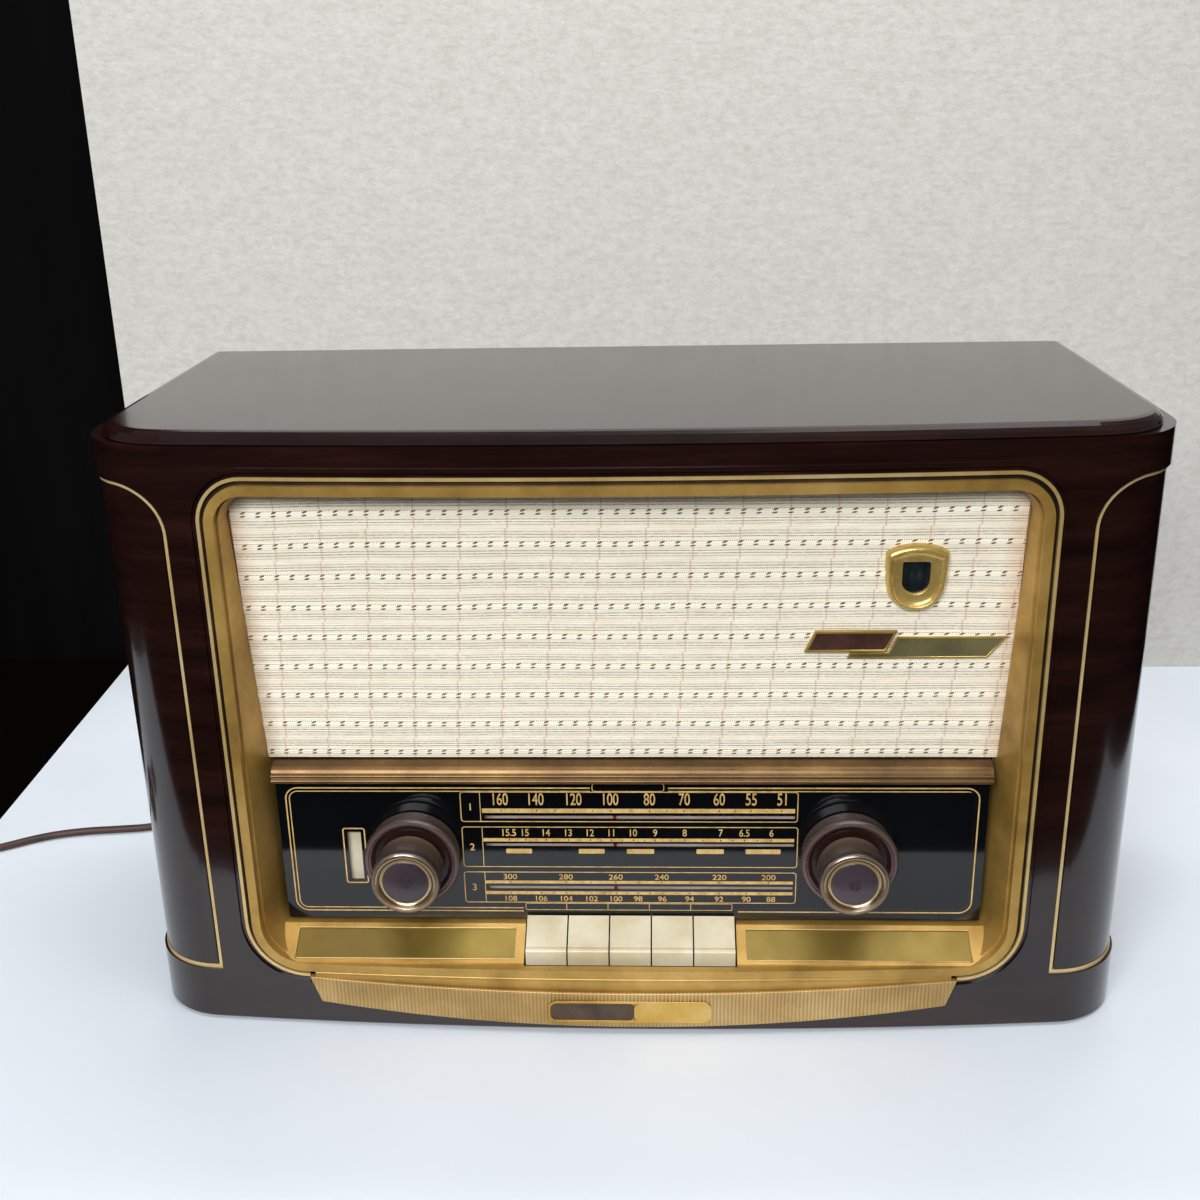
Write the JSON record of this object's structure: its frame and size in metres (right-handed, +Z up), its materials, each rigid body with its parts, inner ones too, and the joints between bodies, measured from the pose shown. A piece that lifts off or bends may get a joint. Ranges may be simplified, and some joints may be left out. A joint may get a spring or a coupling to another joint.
{
  "type": "tube radio",
  "caption": "Bow-fronted table tube radio in dark gloss lacquer with a gold moulded surround, cloth grille, black dial with ring knobs, ivory push keys, open-backed works and a mains lead.",
  "frame": {"origin": "centre of the cabinet's footprint on the table, under the felt feet", "axes": "+X to the listener's right, +Y from the dial to the back cover, +Z up"},
  "size_m": [0.7993, 0.3165, 0.33],
  "materials": {
    "cabinet": "dark red-brown high-gloss lacquer",
    "raw_board": "plain unfinished board",
    "hardboard": "brown pressed fibre board, matte",
    "felt": "pressed felt",
    "steel": "plain plated steel",
    "gold_inlay": "polished gold-coloured strip",
    "gold_trim": "satin gold edge bead",
    "bronze": "dark bronze",
    "gold_plastic": "moulded plastic in satin gold",
    "grille_cloth": "woven cream cloth with gold thread",
    "valve_glass": "clear blown glass",
    "dial_glass": "back-printed glass",
    "dial_black": "matte black",
    "thread": "waxed drive thread",
    "chassis_steel": "zinc-plated sheet steel",
    "phenolic": "brown paper laminate",
    "aluminium_can": "drawn aluminium",
    "core_steel": "varnished core plates and winding",
    "speaker_steel": "pressed sheet, grey paint",
    "paper_cone": "dark paper pulp",
    "black_rubber": "moulded rubber",
    "cord_sheath": "dark brown rubber sheath",
    "brass_pins": "turned brass",
    "pointer_red": "red lacquered tongue",
    "ivory_plastic": "ivory moulded plastic",
    "brown_plastic": "dark brown moulded plastic",
    "ferrite": "grey ferrite rod with copper windings"
  },
  "bodies": {
    "cabinet": {"top_board": "cabinet", "side_left": "cabinet", "side_right": "cabinet", "front_panel": "cabinet", "bottom_board": "raw_board", "feet": "felt", "back_cover": "hardboard", "back_battens": "raw_board", "cover_screws": "steel", "inlay_left": "gold_inlay", "inlay_right": "gold_inlay", "trim_ring": "gold_trim", "groove_ring": "bronze", "bezel": "gold_plastic", "divider_moulding": "gold_plastic", "trim_strip": "gold_plastic", "baffle_board": "raw_board", "grille_cloth": "grille_cloth", "eye_escutcheon": "gold_plastic", "magic_eye": "valve_glass", "dial_glass": "dial_glass", "scale_panel": "dial_black", "pointer_rail": "steel", "dial_cord": "thread", "key_bracket": "steel", "chassis": "chassis_steel", "valve_sockets": "phenolic", "valve_1": "valve_glass", "valve_2": "valve_glass", "valve_3": "valve_glass", "valve_4": "valve_glass", "valve_5": "valve_glass", "if_cans": "aluminium_can", "mains_transformer": "core_steel", "output_transformer": "core_steel", "smoothing_capacitor": "aluminium_can", "tuning_gang": "aluminium_can", "speaker_frame": "speaker_steel", "speaker_cone": "paper_cone", "tweeter": "speaker_steel", "aerial_bracket": "steel", "socket_strip": "phenolic", "strain_relief": "black_rubber", "cord_run": "cord_sheath", "cord_coil": "cord_sheath", "plug_body": "black_rubber", "plug_pins": "brass_pins"},
    "pointer_carriage": {"dial_pointer": "pointer_red"},
    "tone_indicator": {"tone_flag": "ivory_plastic"},
    "volume_control": {"volume_knob": "brown_plastic"},
    "tone_control": {"tone_ring": "brown_plastic"},
    "tuning_control": {"tuning_knob": "brown_plastic"},
    "aerial_control": {"aerial_ring": "brown_plastic"},
    "gang_vanes": {"gang_rotor": "aluminium_can"},
    "ferrite_rod": {"ferrite_aerial": "ferrite"},
    "key_lever_1": {"key_1": "ivory_plastic"},
    "key_lever_2": {"key_2": "ivory_plastic"},
    "key_lever_3": {"key_3": "ivory_plastic"},
    "key_lever_4": {"key_4": "ivory_plastic"},
    "key_lever_5": {"key_5": "ivory_plastic"}
  },
  "joints": [
    {"name": "volume_spin", "type": "hinge", "parent": "cabinet", "child": "volume_control", "pos_m": [-0.115, -0.1, 0.0955], "axis": [0, 1, 0], "range_deg": [-140, 140]},
    {"name": "tone_spin", "type": "hinge", "parent": "cabinet", "child": "tone_control", "pos_m": [-0.115, -0.09, 0.0955], "axis": [0, 1, 0], "range_deg": [0, 270]},
    {"name": "tone_flag_slide", "type": "slide", "parent": "cabinet", "child": "tone_indicator", "axis": [0, 0, 1], "range_m": [0, 0.0138]},
    {"name": "tuning_spin", "type": "hinge", "parent": "cabinet", "child": "tuning_control", "pos_m": [0.115, -0.1, 0.0955], "axis": [0, 1, 0], "range_deg": [-675, 943]},
    {"name": "pointer_slide", "type": "slide", "parent": "cabinet", "child": "pointer_carriage", "axis": [1, 0, 0], "range_m": [-0.068, 0.095]},
    {"name": "gang_spin", "type": "hinge", "parent": "cabinet", "child": "gang_vanes", "pos_m": [0.02, 0.05, 0.088], "axis": [0, 1, 0], "range_deg": [-75.2, 104.9]},
    {"name": "aerial_spin", "type": "hinge", "parent": "cabinet", "child": "aerial_control", "pos_m": [0.115, -0.09, 0.0955], "axis": [0, 1, 0], "range_deg": [-135, 135]},
    {"name": "ferrite_turn", "type": "hinge", "parent": "cabinet", "child": "ferrite_rod", "pos_m": [0.15, 0.05315, 0.284], "axis": [0, 0, 1], "range_deg": [-45.1, 45.1]},
    {"name": "key_1_press", "type": "hinge", "parent": "cabinet", "child": "key_lever_1", "pos_m": [-0.045, -0.01985, 0.046], "axis": [1, 0, 0], "range_deg": [0, 4.5], "stiffness_Nm_per_rad": 0.6, "springref_deg": -2.86},
    {"name": "key_2_press", "type": "hinge", "parent": "cabinet", "child": "key_lever_2", "pos_m": [-0.0225, -0.01985, 0.046], "axis": [1, 0, 0], "range_deg": [0, 4.5], "stiffness_Nm_per_rad": 0.6, "springref_deg": -2.86},
    {"name": "key_3_press", "type": "hinge", "parent": "cabinet", "child": "key_lever_3", "pos_m": [0, -0.01985, 0.046], "axis": [1, 0, 0], "range_deg": [0, 4.5], "stiffness_Nm_per_rad": 0.6, "springref_deg": -2.86},
    {"name": "key_4_press", "type": "hinge", "parent": "cabinet", "child": "key_lever_4", "pos_m": [0.0225, -0.01985, 0.046], "axis": [1, 0, 0], "range_deg": [0, 4.5], "stiffness_Nm_per_rad": 0.6, "springref_deg": -2.86},
    {"name": "key_5_press", "type": "hinge", "parent": "cabinet", "child": "key_lever_5", "pos_m": [0.045, -0.01985, 0.046], "axis": [1, 0, 0], "range_deg": [0, 4.5], "stiffness_Nm_per_rad": 0.6, "springref_deg": -2.86}
  ],
  "couplings": [
    {"joint": "tone_flag_slide", "follows": "tone_spin", "m_per_rad": 0.0029},
    {"joint": "pointer_slide", "follows": "tuning_spin", "m_per_rad": 0.005765},
    {"joint": "gang_spin", "follows": "tuning_spin", "ratio": 0.1111},
    {"joint": "ferrite_turn", "follows": "aerial_spin", "ratio": 0.3333}
  ]
}
